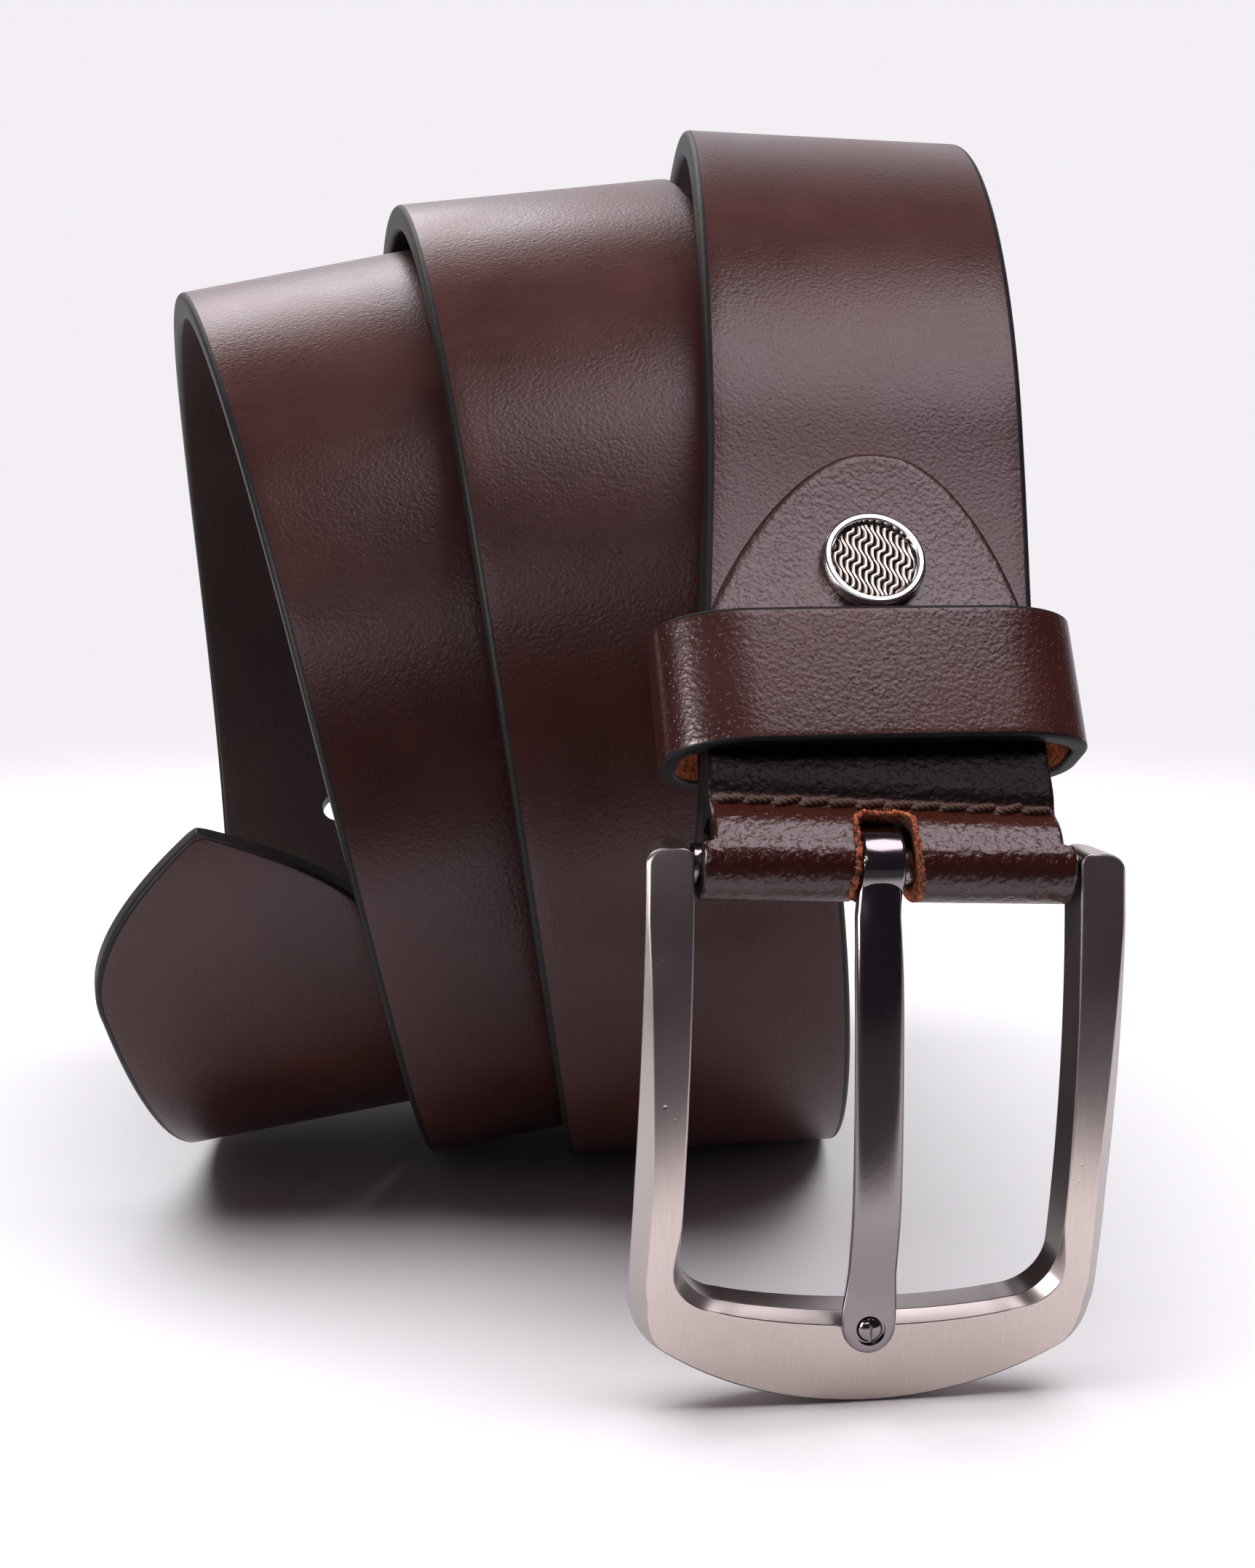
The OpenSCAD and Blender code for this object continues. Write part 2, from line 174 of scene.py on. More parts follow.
# ---------------------------------------------------------------- mesh helpers
def make_object(name, verts, faces, materials=(), indices=None, sharp=None):
    """A smooth mesh object from plain points and faces."""
    mesh = bpy.data.meshes.new(name)
    mesh.from_pydata([tuple(v) for v in verts], [], [tuple(f) for f in faces])
    for m in materials:
        mesh.materials.append(m)
    if indices is not None:
        mesh.polygons.foreach_set("material_index", list(indices))
    mesh.polygons.foreach_set("use_smooth", [True] * len(mesh.polygons))
    mesh.update()
    obj = bpy.data.objects.new(name, mesh)
    bpy.context.scene.collection.objects.link(obj)
    if sharp:
        mark_sharp(mesh, sharp)
    return obj


def mark_sharp(mesh, degrees):
    """Marks the edges whose faces meet at more than an angle."""
    normals = np.zeros(len(mesh.polygons) * 3, np.float32)
    mesh.polygons.foreach_get("normal", normals)
    normals = normals.reshape(-1, 3)
    faces_of = {}
    for p in mesh.polygons:
        for k in p.edge_keys:
            faces_of.setdefault(k, []).append(p.index)
    limit = math.cos(math.radians(degrees))
    for e in mesh.edges:
        f = faces_of.get(tuple(sorted(e.vertices)), ())
        e.use_edge_sharp = len(f) == 2 and float(normals[f[0]] @ normals[f[1]]) < limit


def add_mesh(obj, verts, faces):
    """Joins more points and faces to an object's mesh."""
    mesh = obj.data
    points = [tuple(v.co) for v in mesh.vertices]
    polygons = [tuple(p.vertices) for p in mesh.polygons]
    base = len(points)
    new = bpy.data.meshes.new(mesh.name)
    points += [tuple(v) for v in verts]
    polygons += [tuple(base + q for q in f) for f in faces]
    new.from_pydata(points, [], polygons)
    for m in mesh.materials:
        new.materials.append(m)
    new.polygons.foreach_set("use_smooth", [True] * len(new.polygons))
    new.update()
    obj.data = new


def apply_modifiers(obj):
    deps = bpy.context.evaluated_depsgraph_get()
    mesh = bpy.data.meshes.new_from_object(obj.evaluated_get(deps))
    obj.modifiers.clear()
    obj.data = mesh


def cut(obj, cutter):
    """Cuts cutter out of obj. The cut faces keep the cutter's material."""
    m = obj.modifiers.new("cut", "BOOLEAN")
    m.operation = "DIFFERENCE"
    m.object = cutter
    m.solver = "EXACT"
    m.material_mode = "TRANSFER"
    bpy.context.view_layer.update()
    apply_modifiers(obj)
    bpy.data.objects.remove(cutter)


def float_attribute(obj, name, values):
    a = obj.data.attributes.new(name, "FLOAT", "POINT")
    a.data.foreach_set("value", np.asarray(values, np.float32))


# The corners of a rounded band's section. Each point is a share of the flat part plus a share of the radius.
CORNER_STEPS = 5


def band_section(across, down, skin=0):
    """Points round a band's section: [flat x, flat z, round x, round z, part].

    Part is 0 outside, 1 edge, 2 inside. The outside reaches over the first corner steps that skin counts."""
    points = []
    for i in range(across + 1):
        points.append((-1 + 2 * i / across, 1, 0, 1, 0))
    corners = [(1, 1, 90), (1, -1, 0), (-1, -1, -90), (-1, 1, -180)]
    for number, (sx, sz, start) in enumerate(corners):
        for k in range(1, CORNER_STEPS):
            a = math.radians(start - 90 * k / CORNER_STEPS)
            outside = (number == 0 and k <= skin) or (number == 3 and k >= CORNER_STEPS - skin)
            points.append((sx, sz, math.cos(a), math.sin(a), 0 if outside else 1))
        if number == 0:
            points += [(1, 1 - 2 * i / down, 1, 0, 1) for i in range(down + 1)]
        if number == 1:
            points += [(1 - 2 * i / across, -1, 0, -1, 2) for i in range(across + 1)]
        if number == 2:
            points += [(-1, -1 + 2 * i / down, -1, 0, 1) for i in range(down + 1)]
    return points


def sweep_band(name, stations, across, down, materials, skin=0):
    """A rounded band through stations.

    A station is (frame, half width, inner offset, outer offset, corner radius, distance along).

    A corner is as wide as its radius and as deep, unless a station adds a wider bevel at the end."""
    section = np.array(band_section(across, down, skin))
    k = len(section)
    verts, along = [], []
    for (p, w, _, n), half, low, high, radius, mm, *bevel in stations:
        r = min(radius, (high - low) / 2 * 0.98)
        wide = min(bevel[0] if bevel else radius, half * 0.98)
        x = section[:, 0] * (half - wide) + section[:, 2] * wide
        z = (low + high) / 2 + section[:, 1] * ((high - low) / 2 - r) + section[:, 3] * r
        verts.append(p + PLACE + np.outer(x, w) + np.outer(z, n))
        along += [mm] * k
    verts = np.concatenate(verts) * MM
    count = len(stations)
    faces, parts = [], []
    for j in range(count - 1):
        a, b = j * k, (j + 1) * k
        for i in range(k):
            h = (i + 1) % k
            faces.append((a + i, a + h, b + h, b + i))
            pair = (int(section[i, 4]), int(section[h, 4]))
            parts.append(max(pair) if 1 in pair else pair[0])
    faces.append(tuple(range(k - 1, -1, -1)))
    faces.append(tuple((count - 1) * k + i for i in range(k)))
    parts += [1, 1]
    obj = make_object(name, verts, faces, materials=materials, indices=parts)
    float_attribute(obj, "along", along)
    return obj


def lathe(profile, segments, matrix):
    """Verts and faces of a profile [(radius, height)] turned about z."""
    verts, faces = [], []
    n = len(profile)
    for j in range(segments):
        a = 2 * math.pi * j / segments
        verts += [(r * math.cos(a), r * math.sin(a), z) for r, z in profile]
    for j in range(segments):
        a, b = j * n, ((j + 1) % segments) * n
        for i in range(n):
            h = (i + 1) % n
            faces.append((a + i, b + i, b + h, a + h))
    return [matrix @ Vector(v) for v in verts], faces


def ring_faces(count, sides):
    """Faces that join a row of rings of points, with a cap at both ends."""
    faces = []
    for i in range(count - 1):
        for k in range(sides):
            h = (k + 1) % sides
            faces.append((i * sides + k, i * sides + h, (i + 1) * sides + h, (i + 1) * sides + k))
    faces.append(tuple(range(sides - 1, -1, -1)))
    faces.append(tuple((count - 1) * sides + k for k in range(sides)))
    return faces


BOX_FACES = [(3, 2, 1, 0), (4, 5, 6, 7)] + [(k, (k + 1) % 4, 4 + (k + 1) % 4, 4 + k) for k in range(4)]


def arc(cx, cy, r, start, end, steps):
    return [(cx + r * cos(mix(start, end, i / steps)), cy + r * sin(mix(start, end, i / steps)))
            for i in range(steps + 1)]


def smooth_curve(points, steps):
    """Catmull-Rom points through a list of points."""
    p = np.array(points, float)
    p = np.concatenate([[2 * p[0] - p[1]], p, [2 * p[-1] - p[-2]]])
    out = []
    for i in range(1, len(p) - 2):
        for s in range(steps):
            t = s / steps
            a, b, c, d = p[i - 1], p[i], p[i + 1], p[i + 2]
            out.append(0.5 * (2 * b + (c - a) * t + (2 * a - 5 * b + 4 * c - d) * t * t
                              + (3 * b - a - 3 * c + d) * t**3))
    out.append(p[-2])
    return np.array(out)


# ---------------------------------------------------------------- materials
class Shader:
    """A material with a short way to add and join nodes."""

    def __init__(self, name, colour, roughness, metallic=0.0):
        self.material = bpy.data.materials.new(name)
        self.material.use_nodes = True
        self.tree = self.material.node_tree
        self.bsdf = self.tree.nodes["Principled BSDF"]
        self.bsdf.inputs["Base Color"].default_value = (*colour, 1)
        self.bsdf.inputs["Roughness"].default_value = roughness
        self.bsdf.inputs["Metallic"].default_value = metallic
        self.height = None

    def node(self, kind, inputs=None, **settings):
        n = self.tree.nodes.new(kind)
        for key, value in settings.items():
            setattr(n, key, value)
        for key, value in (inputs or {}).items():
            self.put(n.inputs[key], value)
        return n

    def put(self, socket, value):
        if isinstance(value, bpy.types.NodeSocket):
            self.tree.links.new(value, socket)
        else:
            socket.default_value = value

    def place(self):
        return self.node("ShaderNodeTexCoord").outputs["Object"]

    def scaled(self, place, scale):
        return self.node("ShaderNodeMapping", {"Vector": place, "Scale": scale}).outputs[0]

    def noise(self, place, scale, detail=3.0, rough=0.5, distortion=0.0):
        return self.node("ShaderNodeTexNoise", {"Vector": place, "Scale": scale, "Detail": detail,
                                                "Roughness": rough, "Distortion": distortion}).outputs["Fac"]

    def voronoi(self, place, scale, feature="F1"):
        return self.node("ShaderNodeTexVoronoi", {"Vector": place, "Scale": scale, "Randomness": 1.0},
                         feature=feature).outputs["Distance"]

    def attribute(self, name):
        return self.node("ShaderNodeAttribute", attribute_name=name).outputs["Fac"]

    def math(self, operation, a, b=0.0):
        n = self.node("ShaderNodeMath", operation=operation)
        self.put(n.inputs[0], a)
        self.put(n.inputs[1], b)
        return n.outputs[0]

    def remap(self, value, low, high, to_low=0.0, to_high=1.0):
        n = self.node("ShaderNodeMapRange", {"Value": value, "From Min": low, "From Max": high,
                                             "To Min": to_low, "To Max": to_high}, clamp=True)
        return n.outputs[0]

    def mix(self, fac, a, b):
        n = self.node("ShaderNodeMix", data_type="RGBA")
        self.put(n.inputs["Factor"], fac)
        for socket, value in ((n.inputs[6], a), (n.inputs[7], b)):
            self.put(socket, (*value, 1) if isinstance(value, tuple) else value)
        return n.outputs[2]

    def bump(self, height, distance):
        """Adds a height field, in millimetres times distance, on top of those before."""
        n = self.node("ShaderNodeBump", {"Height": height, "Distance": distance * MM, "Strength": 1.0})
        if self.height is not None:
            self.tree.links.new(self.height, n.inputs["Normal"])
        self.height = n.outputs[0]
        self.tree.links.new(self.height, self.bsdf.inputs["Normal"])

    def set(self, name, value):
        self.put(self.bsdf.inputs[name], value)


def leather(name, dark, light, roughness, grain, pores, coat=0.0, wrinkle=0.0, grain_size=0.55, shine=0.5):
    """Finished leather: mottled colour, a pebbled grain and fine pores."""
    s = Shader(name, dark, roughness)
    p = s.place()
    mottle = s.noise(p, 60, 4, 0.6)
    cloud = s.noise(p, 14, 2, 0.5)
    s.set("Base Color", s.mix(s.remap(s.math("ADD", mottle, cloud), 0.75, 1.25), dark, light))
    cells = s.voronoi(p, 1000 / grain_size, "SMOOTH_F1")
    fine = s.noise(p, 3200, 3, 0.6)
    medium = s.noise(p, 1500, 3, 0.55, 0.3)
    height = s.math("ADD", s.math("MULTIPLY", cells, -0.9), s.math("MULTIPLY", medium, 0.8))
    s.bump(height, grain)
    s.bump(fine, grain * 0.35)
    if wrinkle:
        s.bump(s.noise(p, 260, 4, 0.6, 0.8), wrinkle)
    if pores:
        dots = s.remap(s.voronoi(p, 1000 / 0.62), 0.0, 0.26, 0, 1)
        s.bump(dots, pores)
    low, high = roughness - 0.05, roughness + 0.07
    s.set("Roughness", s.remap(s.math("ADD", s.math("MULTIPLY", fine, 0.5), s.math("MULTIPLY", mottle, 0.5)),
                               0.35, 0.65, low, high))
    s.bsdf.inputs["Specular IOR Level"].default_value = shine
    s.bsdf.inputs["Specular Tint"].default_value = (1.0, 0.90, 0.94, 1)
    if coat:
        s.bsdf.inputs["Coat Weight"].default_value = coat
        s.bsdf.inputs["Coat Roughness"].default_value = 0.22
    return s


def painted_edge():
    """The strap's painted edge: charcoal, satin, with a few raw fibres."""
    s = Shader("edge_paint", (0.008, 0.006, 0.007), 0.5)
    s.bsdf.inputs["Specular IOR Level"].default_value = 0.22
    p = s.place()
    fleck = s.remap(s.noise(p, 900, 4, 0.7), 0.66, 0.74)
    s.set("Base Color", s.mix(fleck, s.mix(s.noise(p, 220, 3), (0.004, 0.003, 0.004), (0.012, 0.009, 0.010)),
                              (0.08, 0.03, 0.02)))
    s.bump(s.noise(p, 1100, 4, 0.65), 0.05)
    s.bump(s.noise(p, 240, 3, 0.6), 0.10)
    return s


def raw_leather():
    """Cut leather with loose orange-brown fibres."""
    s = Shader("raw_fibre", (0.25, 0.06, 0.025), 0.85)
    p = s.place()
    n = s.noise(p, 1700, 5, 0.7, 0.6)
    s.set("Base Color", s.mix(s.remap(n, 0.36, 0.60), (0.10, 0.025, 0.012), (0.80, 0.20, 0.065)))
    s.bump(s.noise(p, 1900, 5, 0.75, 0.8), 0.28)
    return s


def metal(name, colour, roughness, scratch=0.02, pits=0.0, brushed=None):
    """Plated metal with fine scratches, small pits and, where brushed, lines across one direction."""
    s = Shader(name, colour, roughness, 1.0)
    p = s.place()
    wear = s.noise(p, 90, 1, 0.5)
    s.set("Roughness", s.remap(wear, 0.3, 0.7, roughness - 0.02, roughness + 0.03))
    if brushed:
        lines = s.noise(s.scaled(p, brushed), 1, 3, 0.6)
        s.bump(lines, scratch)
        darker = tuple(c * 0.90 for c in colour)
        s.set("Base Color", s.mix(s.remap(lines, 0.3, 0.7), darker, colour))
    else:
        s.bump(s.noise(p, 800, 3, 0.6), scratch)
    if pits:
        spots = s.voronoi(p, 420)
        keep = s.remap(s.noise(p, 95, 2), 0.5, 0.64)
        s.bump(s.math("MULTIPLY", s.remap(spots, 0.03, 0.10, -1, 0), keep), pits)
    return s


TAB_COAT = 0.2
STRAP = leather("strap_grain", (0.036, 0.0086, 0.0062), (0.056, 0.0138, 0.0100), 0.30, 0.032, 0.014,
                grain_size=0.45)
TAB = leather("tab_grain", (0.034, 0.0085, 0.0064), (0.060, 0.0160, 0.0115), 0.27, 0.085, 0.03,
              coat=TAB_COAT, wrinkle=0.05)
LOOP = leather("keeper_grain", (0.040, 0.0095, 0.0068), (0.060, 0.0150, 0.0105), 0.26, 0.045, 0.06,
               coat=0.15, grain_size=0.5)
FLESH = leather("flesh_side", (0.026, 0.0120, 0.0105), (0.044, 0.0210, 0.0180), 0.65, 0.05, 0.0,
                grain_size=0.9, shine=0.2)


def colour_tab(s):
    """The tab is glossy and darker round the bar, and painted near-black between the seam and the keeper as
    the keeper's shadow, with its shine and coat turned down there.
    """
    along = s.attribute("along")
    roll = s.remap(along, -6.2, -5.2)
    # Painted shadow: the strip under the keeper, from the seam to the keeper, is painted near-black and
    # loses its shine and coat.
    painted_keeper_shadow = s.math("MULTIPLY", s.remap(along, -7.2, -6.2, 1, 0), s.remap(along, -17.5, -16.0))
    colour = s.bsdf.inputs["Base Color"].links[0].from_socket
    colour = s.mix(roll, colour, (0.040, 0.0085, 0.0042))
    s.set("Base Color", s.mix(painted_keeper_shadow, colour, (0.010, 0.006, 0.006)))
    rough = s.bsdf.inputs["Roughness"].links[0].from_socket
    s.set("Roughness", s.math("SUBTRACT", rough, s.math("MULTIPLY", roll, 0.10)))
    s.set("Specular IOR Level", s.remap(painted_keeper_shadow, 0, 1, 0.5, 0.06))
    s.set("Coat Weight", s.remap(painted_keeper_shadow, 0, 1, TAB_COAT, 0.0))
    pebbles = s.voronoi(s.place(), 1100, "SMOOTH_F1")
    rough_skin = s.math("ADD", roll, painted_keeper_shadow)
    s.bump(s.math("MULTIPLY", pebbles, rough_skin), 0.11)


colour_tab(TAB)
EDGE = painted_edge()
RAW = raw_leather()
THREAD = Shader("twisted_thread", (0.085, 0.036, 0.022), 0.6)
THREAD.bsdf.inputs["Specular IOR Level"].default_value = 0.3
THREAD.bump(THREAD.noise(THREAD.place(), 3500, 3, 0.6), 0.04)
FRAME_METAL = metal("satin_gunmetal", (0.60, 0.51, 0.475), 0.26, 0.004, 0.05, brushed=(5200, 1800, 90))
BEVEL_METAL = metal("polished_bevel", (0.40, 0.355, 0.34), 0.32, 0.006, 0.03)
DARK_NICKEL = metal("dark_nickel", (0.25, 0.218, 0.228), 0.15, 0.010, 0.04)
NICKEL = metal("bright_nickel", (0.80, 0.79, 0.79), 0.2, 0.004)


def patterned_metal():
    """The rivet's insert: warm worn ridges over dark grooves."""
    s = Shader("ridged_insert", (0.7, 0.6, 0.55), 0.35, 0.9)
    high = s.attribute("ridge")
    noise = s.noise(s.place(), 1500, 3, 0.6)
    fac = s.remap(s.math("ADD", high, s.math("MULTIPLY", noise, 0.3)), 0.3, 0.85)
    s.set("Base Color", s.mix(fac, (0.012, 0.010, 0.012), (0.78, 0.66, 0.60)))
    s.set("Roughness", s.remap(fac, 0, 1, 0.6, 0.32))
    s.bump(noise, 0.03)
    return s


INSERT = patterned_metal()


# ---------------------------------------------------------------- strap
def point_half(s):
    """Half width of the pointed end at a distance from its tip."""
    if s >= POINT_L:
        return STRAP_W / 2
    return max(0.35, STRAP_W / 2 * (1 - (1 - s / POINT_L) ** 2.1))


def build_strap():
    straight = list(np.arange(STRAP_START, ROUTE_L - POINT_L, 2.2))
    point = [ROUTE_L - POINT_L * (1 - k / 34) ** 1.7 for k in range(35)]
    stations = []
    for mm in straight + point:
        s = ROUTE_L - mm
        f = frame_at(mm, POINT_SIDE * max(0, 1 - s / POINT_L))
        thin = math.sqrt(max(0.02, 1 - (1 - min(s, 0.9) / 0.9) ** 2))
        half_t = STRAP_T / 2 * thin
        stations.append((f, point_half(s), -half_t, half_t, 0.85, mm))
    obj = sweep_band("strap_leather", stations, 20, 3, [STRAP.material, EDGE.material, FLESH.material])
    cutters_v, cutters_f = [], []
    sides = 36
    for i in range(HOLE_COUNT):
        m = frame_matrix(frame_at(ROUTE_L - FIRST_HOLE - i * HOLE_PITCH))
        base = len(cutters_v)
        for z in (-6, 6):
            cutters_v += [m @ Vector((HOLE_D / 2 * cos(a), HOLE_D / 2 * sin(a), z))
                          for a in (360 * k / sides for k in range(sides))]
        cutters_f.append(tuple(base + sides - 1 - k for k in range(sides)))
        cutters_f.append(tuple(base + sides + k for k in range(sides)))
        for k in range(sides):
            h = (k + 1) % sides
            cutters_f.append((base + k, base + h, base + sides + h, base + sides + k))
    cutter = make_object("hole_cutters", cutters_v, cutters_f, materials=[EDGE.material])
    cut(obj, cutter)
    mark_sharp(obj.data, 50)
    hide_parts("strap")
    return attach(obj, "belt")


# ---------------------------------------------------------------- tab
def tab_thick(mm):
    return mix(TAB_T, TAB_END_T, share((mm - 5) / 20))


def tab_in(mm):
    return mix(BAR_IN, STRAP_T / 2 + 0.1, min(1.0, mm / 8))


def seam_dip(mm):
    """How far the stitches pull the tab in."""
    return 0.85 * math.exp(-((mm - STITCH_AT) / 1.7) ** 2) - 0.12 * math.exp(-((mm - 2.6) / 1.3) ** 2)


def flap_half(s):
    if s >= FLAP_ROUND:
        return STRAP_W / 2
    return max(0.5, STRAP_W / 2 * math.sqrt(1 - (1 - s / FLAP_ROUND) ** 1.25))


def tab_half(mm):
    return mix(TAB_W, STRAP_W, min(1.0, mm / 10)) / 2


def tilted(f, angle):
    p, w, t, n = f
    return p, w, t * cos(angle) + n * sin(angle), n * cos(angle) - t * sin(angle)


SLOT_LEFT, SLOT_RIGHT, SLOT_TOP = -3.85, 2.9, 4.25


def slot_lip(u):
    """A point on the slot's upper edge, u from 0 at the left underside to 1 at the right underside."""
    round_l, side_l = 7.2, 2.6
    top_l = SLOT_RIGHT - SLOT_LEFT
    s = u * (2 * round_l + 2 * side_l + top_l)
    mirrored = s > round_l + side_l + top_l / 2
    if mirrored:
        s = 2 * round_l + 2 * side_l + top_l - s
    edge = SLOT_RIGHT if mirrored else SLOT_LEFT
    r = BAR_IN + TAB_T + 0.08
    if s < round_l:
        a = (round_l - s) / r
        flare = 0.5 * max(0, math.sin(a)) ** 2 * (1 if mirrored else -1)
        return edge + flare, -r * math.sin(a), r * math.cos(a)
    if s < round_l + side_l:
        return edge, s - round_l, r - 0.02
    middle = (SLOT_LEFT + SLOT_RIGHT) / 2
    t = (s - round_l - side_l) / (top_l / 2)
    y = side_l + (SLOT_TOP - side_l) * math.sin(math.pi / 2 * min(1, t * 1.6))
    return mix(edge, middle, max(0, t - 0.18) / 0.82), y, r - 0.02 - seam_dip(y) * 0.8


def build_slot_fibres():
    """The slot's raw edge: a torn lip with short loose fibres."""
    rng = np.random.default_rng(11)
    m = frame_matrix(frame_at(0))
    line, verts, faces = [], [], []
    for k in range(121):
        x, y, z = slot_lip(k / 120)
        line.append(np.array(m @ Vector((x, y, z))) + rng.normal(0, 0.07, 3) * MM)
    v, f = tube(line, 0.33 * MM, 8)
    verts += [p + rng.normal(0, 0.07, 3) * MM for p in v]
    faces += f
    for _ in range(420):
        x, y, z = slot_lip(rng.random())
        root = np.array(m @ Vector((x, y, z)))
        out = unit(np.array(m.to_3x3() @ Vector((rng.normal(0, 0.45), rng.normal(0, 0.4), 0.9))))
        side = unit(np.cross(out, rng.normal(0, 1, 3)))
        up = np.cross(out, side)
        length, width = rng.uniform(0.35, 0.85) * MM, rng.uniform(0.07, 0.16) * MM
        base = len(verts)
        verts += [root + width * (math.cos(a) * side + math.sin(a) * up) for a in (0, 2.1, 4.2)]
        verts.append(root + length * out + rng.normal(0, 0.12, 3) * MM)
        faces += [tuple(base + q for q in face) for face in ((0, 1, 3), (1, 2, 3), (2, 0, 3), (2, 1, 0))]
    obj = make_object("slot_raw_edge", verts, faces, materials=[RAW.material])
    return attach(obj, "belt")


def build_tab():
    bar = frame_at(0)
    stations = []
    front = [FLAP_L - FLAP_ROUND * (k / 26) ** 1.8 for k in range(27)] + list(np.arange(28, 0.4, -0.6))
    for mm in front:
        s = FLAP_L - mm
        f = frame_at(mm, FLAP_SIDE * max(0, 1 - s / FLAP_ROUND))
        half = min(flap_half(s), tab_half(mm))
        steep = (flap_half(s + 0.2) - flap_half(s)) / 0.2
        bevel = mix(1.3, 0.5, share((34 - mm) / 10)) * math.hypot(1, steep)
        sunk = 0.12 * share((mm - 4) / 10)
        height = tab_thick(mm) * min(1.0, math.sqrt(half / bevel)) + 2 * sunk - seam_dip(mm)
        low = tab_in(mm) - sunk
        stations.append((f, half, low, low + height, 0.45, -mm, bevel))
    for a in np.arange(0, 181, 6):
        stations.append((tilted(bar, a), tab_half(0), BAR_IN, BAR_IN + TAB_T, 0.5, a / 180 * 14))
    for mm in np.arange(1, BACK_L + 0.1, 1.4):
        p, w, t, n = frame_at(mm)
        end = max(0.0, mm - BACK_L + 3)
        f = (p, w, -t, -n)
        low = tab_in(mm)
        stations.append((f, tab_half(mm) - end**2 * 0.35, low, low + tab_thick(mm), 0.45, 14 + mm))
    surfaces = [TAB.material, EDGE.material, FLESH.material]
    obj = sweep_band("buckle_tab_leather", stations, 76, 2, surfaces, skin=3)
    flare = [(SLOT_RIGHT + 0.7, -6.5), (SLOT_RIGHT + 0.5, -3.6), (SLOT_RIGHT, -1.5)]
    outline = (flare + arc(SLOT_RIGHT - 1.6, SLOT_TOP - 1.6, 1.6, 0, 90, 5)
               + arc(SLOT_LEFT + 1.6, SLOT_TOP - 1.6, 1.6, 90, 180, 5)
               + [(SLOT_LEFT, -1.5), (SLOT_LEFT - 0.3, -3.6), (SLOT_LEFT - 0.4, -6.5)])
    m = frame_matrix(bar)
    count = len(outline)
    verts = [m @ Vector((x, y, z)) for z in (-7, 7) for x, y in outline]
    faces = [tuple(range(count - 1, -1, -1)), tuple(range(count, 2 * count))]
    faces += [(k, (k + 1) % count, count + (k + 1) % count, count + k) for k in range(count)]
    cut(obj, make_object("slot_cutter", verts, faces, materials=[RAW.material]))
    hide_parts("buckle_tab")
    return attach(obj, "belt")


# ---------------------------------------------------------------- seam
def tube(points, radius, sides=7):
    """Verts and faces of a closed tube along points."""
    verts = []
    n = len(points)
    for i, p in enumerate(points):
        t = unit(points[min(i + 1, n - 1)] - points[max(i - 1, 0)])
        side = unit(np.cross(t, [0.3, 0.2, 0.93]))
        up = np.cross(side, t)
        r = radius * (0.55 if i in (0, n - 1) else 1)
        verts += [p + r * (math.cos(a) * side + math.sin(a) * up)
                  for a in (2 * math.pi * k / sides for k in range(sides))]
    return verts, ring_faces(n, sides)


def build_seam():
    verts, faces = [], []
    rng = np.random.default_rng(7)
    count = 12
    pitch = (TAB_W - 4) / count
    surface = tab_in(STITCH_AT) + tab_thick(STITCH_AT)
    p, w, t, n = frame_at(STITCH_AT)
    for side in (1, -1):
        pull = seam_dip(STITCH_AT) if side == 1 else 0.0
        for i in range(count):
            middle = (i - (count - 1) / 2) * pitch
            tilt = 0.45 + 0.35 * rng.standard_normal()
            for strand in range(3):
                line = []
                for k in range(15):
                    u = k / 14
                    x = middle + (u - 0.5) * pitch * 1.12
                    dip = 0.5 * abs(2 * u - 1) ** 4
                    a = 2 * math.pi * (u * 1.8 + strand / 3) + i
                    y = (u - 0.5) * 2 * tilt * 0.6 + 0.27 * math.cos(a)
                    z = side * (surface - pull + 0.2 - dip + 0.27 * math.sin(a))
                    line.append((p + x * w + y * t + z * n + PLACE) * MM + rng.normal(0, 0.03, 3) * MM)
                v, f = tube(line, 0.29 * MM)
                base = len(verts)
                verts += v
                faces += [tuple(base + q for q in face) for face in f]
    obj = make_object("seam_thread", verts, faces, materials=[THREAD.material])
    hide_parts("stitches")
    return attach(obj, "belt")


